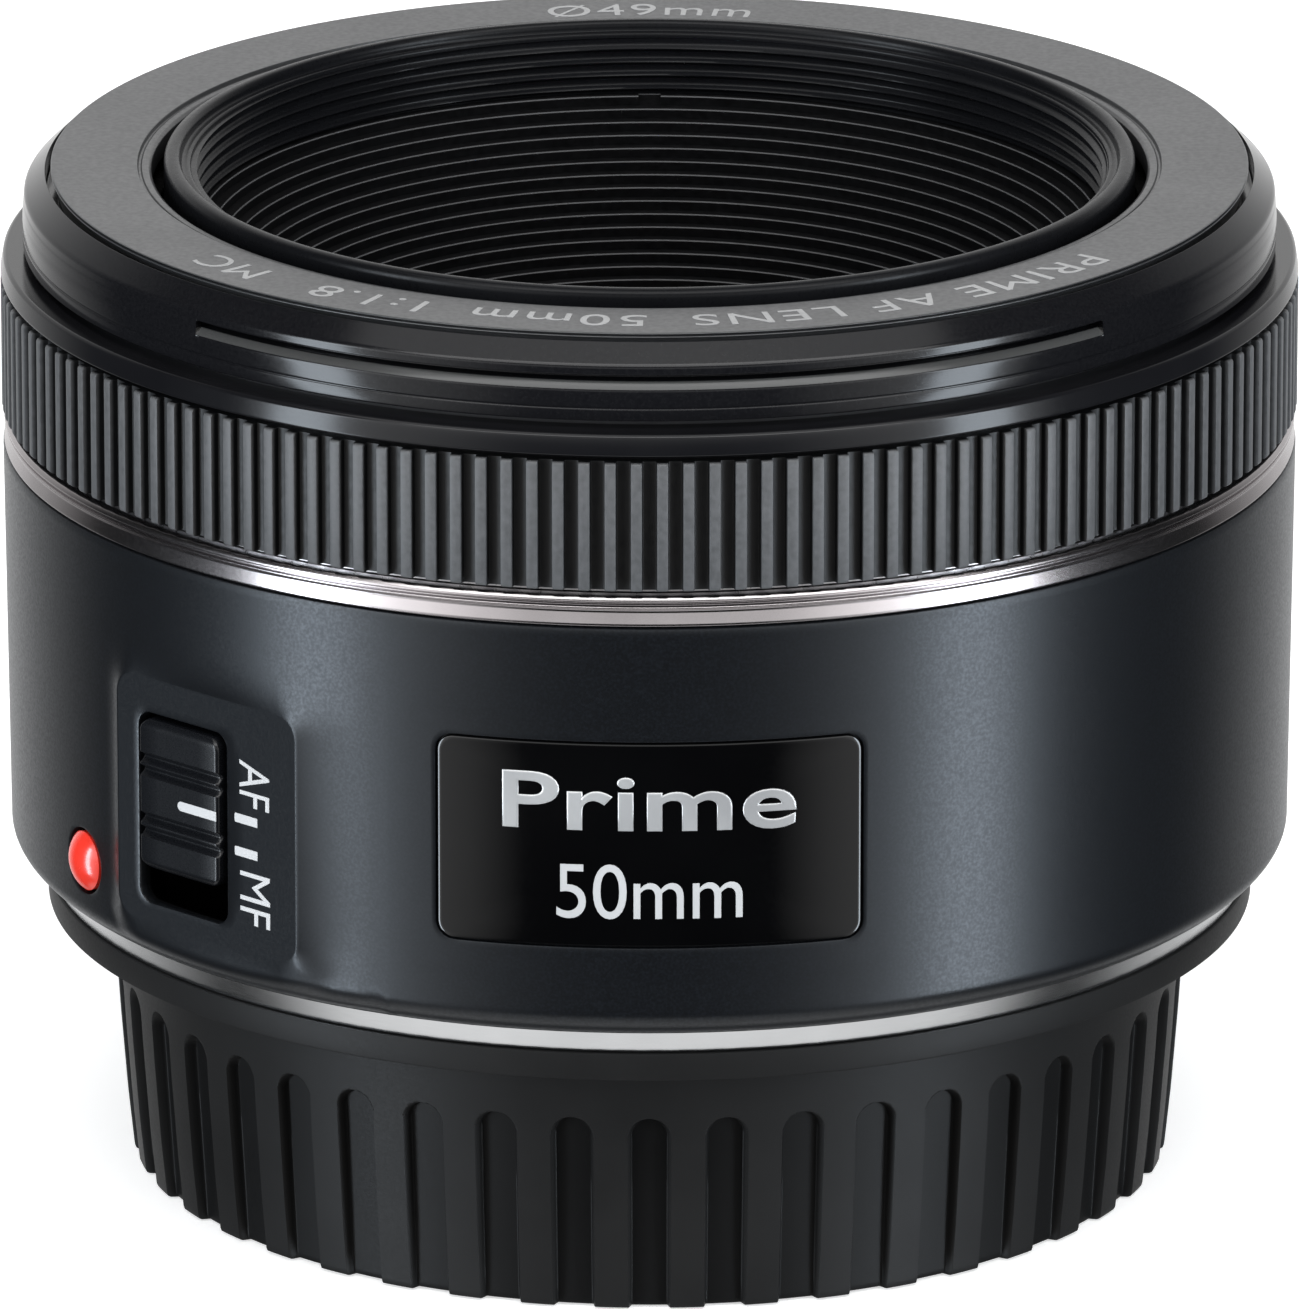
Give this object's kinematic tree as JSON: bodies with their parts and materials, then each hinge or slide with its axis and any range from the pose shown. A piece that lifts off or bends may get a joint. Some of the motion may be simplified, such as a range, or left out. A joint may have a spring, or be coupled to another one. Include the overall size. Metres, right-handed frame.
{
  "type": "prime camera lens",
  "caption": "Compact autofocus prime camera lens with ribbed focus ring, stepped front baffle, focus mode switch, metal mount and rear cap.",
  "frame": {"origin": "centre of the rear cap's bottom face, on which the lens stands", "axes": "+Z along the optical axis, from the mount to the front of the lens; -Y is the side with the nameplate"},
  "size_m": [0.0692, 0.0692, 0.0554],
  "materials": {
    "bezel_gloss": "high gloss black",
    "name_ring_satin": "satin grey paint",
    "barrel_satin": "satin dark metallic paint with a fine grain",
    "focus_rim_gloss": "gloss black",
    "focus_grip": "satin moulded ribs",
    "trim_chrome": "dark warm chrome",
    "nameplate_gloss": "gloss black window",
    "index_red": "glossy red",
    "switch_plastic": "satin black",
    "mount_metal": "fine turned satin",
    "cap_plastic": "fine matt texture",
    "inner_barrel_black": "satin black",
    "baffle_black": "dead matt black",
    "glass": "coated optical glass",
    "cell_black": "black anodised",
    "structure_plastic": "glass-filled black moulding",
    "steel": "bright steel",
    "black_steel": "blackened steel leaf",
    "brass": "gold plated",
    "gear_plastic": "natural acetal",
    "board_green": "solder mask",
    "felt": "flocked seal"
  },
  "bodies": {
    "housing": {"front_bezel": "bezel_gloss", "bezel_screws": "steel", "name_ring": "name_ring_satin", "barrel_felt_ring": "felt", "front_housing": "structure_plastic", "housing_screws": "steel", "encoder_sensor": "structure_plastic", "friction_washer": "steel", "main_barrel": "barrel_satin", "mount_index_dot": "index_red", "trim_ring": "trim_chrome", "nameplate": "nameplate_gloss", "switch_board": "board_green", "switch_detent_spring": "steel", "mount_ring": "mount_metal", "mount_screws": "steel", "contact_block": "structure_plastic", "contact_pins": "brass", "contact_block_screws": "steel", "rear_light_baffle": "baffle_black", "base_plate": "structure_plastic", "guide_tube": "structure_plastic", "cam_retaining_ring": "steel", "gear_axles": "steel", "focus_motor": "steel", "circuit_board": "board_green"},
    "focus_ring": {"focus_ring": "focus_rim_gloss", "focus_grip": "focus_grip", "encoder_strip": "steel"},
    "inner_barrel": {"inner_barrel": "inner_barrel_black", "cam_followers": "steel", "baffle_cone": "baffle_black", "front_cell": "cell_black", "front_element": "glass", "element_2": "glass", "element_3": "glass", "front_spacer": "cell_black", "element_4": "glass", "element_5": "glass", "rear_element": "glass", "rear_cell": "cell_black", "rear_retainer": "cell_black", "aperture_base": "black_steel", "aperture_motor": "steel"},
    "cam_ring": {"cam_ring": "structure_plastic"},
    "reduction_gear_2": {"reduction_gear_2": "gear_plastic"},
    "reduction_gear_1": {"reduction_gear_1": "gear_plastic"},
    "motor_pinion": {"motor_pinion": "brass"},
    "aperture_drive_ring": {"aperture_drive_ring": "structure_plastic"},
    "switch_slider": {"switch_slider": "switch_plastic"},
    "rear_cap": {"rear_cap": "cap_plastic"},
    "aperture_blade_1": {"aperture_blade_1": "black_steel"},
    "aperture_blade_2": {"aperture_blade_2": "black_steel"},
    "aperture_blade_3": {"aperture_blade_3": "black_steel"},
    "aperture_blade_4": {"aperture_blade_4": "black_steel"},
    "aperture_blade_5": {"aperture_blade_5": "black_steel"},
    "aperture_blade_6": {"aperture_blade_6": "black_steel"},
    "aperture_blade_7": {"aperture_blade_7": "black_steel"}
  },
  "joints": [
    {"name": "focus_ring_turn", "type": "hinge", "parent": "housing", "child": "focus_ring", "pos_m": [0, 0, 0.0459], "axis": [0, 0, 1], "continuous": true},
    {"name": "focus_extension", "type": "slide", "parent": "housing", "child": "inner_barrel", "axis": [0, 0, 1], "range_m": [0, 0.01]},
    {"name": "cam_ring_turn", "type": "hinge", "parent": "housing", "child": "cam_ring", "pos_m": [0, 0, 0.026], "axis": [0, 0, 1], "range_deg": [-75, 0]},
    {"name": "reduction_gear_2_turn", "type": "hinge", "parent": "housing", "child": "reduction_gear_2", "pos_m": [0.02518, 0.00917, 0.021], "axis": [0, 0, 1], "continuous": true},
    {"name": "reduction_gear_1_turn", "type": "hinge", "parent": "housing", "child": "reduction_gear_1", "pos_m": [0.02304, 0.01368, 0.021], "axis": [0, 0, 1], "continuous": true},
    {"name": "motor_pinion_turn", "type": "hinge", "parent": "housing", "child": "motor_pinion", "pos_m": [0.02089, 0.0182, 0.021], "axis": [0, 0, 1], "continuous": true},
    {"name": "aperture_ring_turn", "type": "hinge", "parent": "inner_barrel", "child": "aperture_drive_ring", "pos_m": [0, 0, 0.0249], "axis": [0, 0, 1], "range_deg": [0, 30]},
    {"name": "aperture_blade_1_swing", "type": "hinge", "parent": "inner_barrel", "child": "aperture_blade_1", "pos_m": [0.0152, 0, 0.0249], "axis": [0, 0, 1], "range_deg": [0, 25.2]},
    {"name": "aperture_blade_2_swing", "type": "hinge", "parent": "inner_barrel", "child": "aperture_blade_2", "pos_m": [0.00948, 0.01188, 0.0249], "axis": [0, 0, 1], "range_deg": [0, 25.2]},
    {"name": "aperture_blade_3_swing", "type": "hinge", "parent": "inner_barrel", "child": "aperture_blade_3", "pos_m": [-0.00338, 0.01482, 0.0249], "axis": [0, 0, 1], "range_deg": [0, 25.2]},
    {"name": "aperture_blade_4_swing", "type": "hinge", "parent": "inner_barrel", "child": "aperture_blade_4", "pos_m": [-0.01369, 0.0066, 0.0249], "axis": [0, 0, 1], "range_deg": [0, 25.2]},
    {"name": "aperture_blade_5_swing", "type": "hinge", "parent": "inner_barrel", "child": "aperture_blade_5", "pos_m": [-0.01369, -0.0066, 0.0249], "axis": [0, 0, 1], "range_deg": [0, 25.2]},
    {"name": "aperture_blade_6_swing", "type": "hinge", "parent": "inner_barrel", "child": "aperture_blade_6", "pos_m": [-0.00338, -0.01482, 0.0249], "axis": [0, 0, 1], "range_deg": [0, 25.2]},
    {"name": "aperture_blade_7_swing", "type": "hinge", "parent": "inner_barrel", "child": "aperture_blade_7", "pos_m": [0.00948, -0.01188, 0.0249], "axis": [0, 0, 1], "range_deg": [0, 25.2]},
    {"name": "mode_switch_slide", "type": "slide", "parent": "housing", "child": "switch_slider", "axis": [0, 0, -1], "range_m": [0, 0.0018]},
    {"name": "rear_cap_twist", "type": "hinge", "parent": "housing", "child": "rear_cap", "pos_m": [0, 0, 0.012], "axis": [0, 0, 1], "range_deg": [-60, 0]}
  ],
  "couplings": [
    {"joint": "cam_ring_turn", "follows": "focus_extension", "rad_per_m": -130.9},
    {"joint": "reduction_gear_2_turn", "follows": "focus_extension", "rad_per_m": 1122},
    {"joint": "reduction_gear_1_turn", "follows": "focus_extension", "rad_per_m": -1683},
    {"joint": "motor_pinion_turn", "follows": "focus_extension", "rad_per_m": 2524.5},
    {"joint": "aperture_blade_1_swing", "follows": "aperture_ring_turn", "ratio": 0.83333},
    {"joint": "aperture_blade_2_swing", "follows": "aperture_ring_turn", "ratio": 0.83333},
    {"joint": "aperture_blade_3_swing", "follows": "aperture_ring_turn", "ratio": 0.83333},
    {"joint": "aperture_blade_4_swing", "follows": "aperture_ring_turn", "ratio": 0.83333},
    {"joint": "aperture_blade_5_swing", "follows": "aperture_ring_turn", "ratio": 0.83333},
    {"joint": "aperture_blade_6_swing", "follows": "aperture_ring_turn", "ratio": 0.83333},
    {"joint": "aperture_blade_7_swing", "follows": "aperture_ring_turn", "ratio": 0.83333}
  ]
}
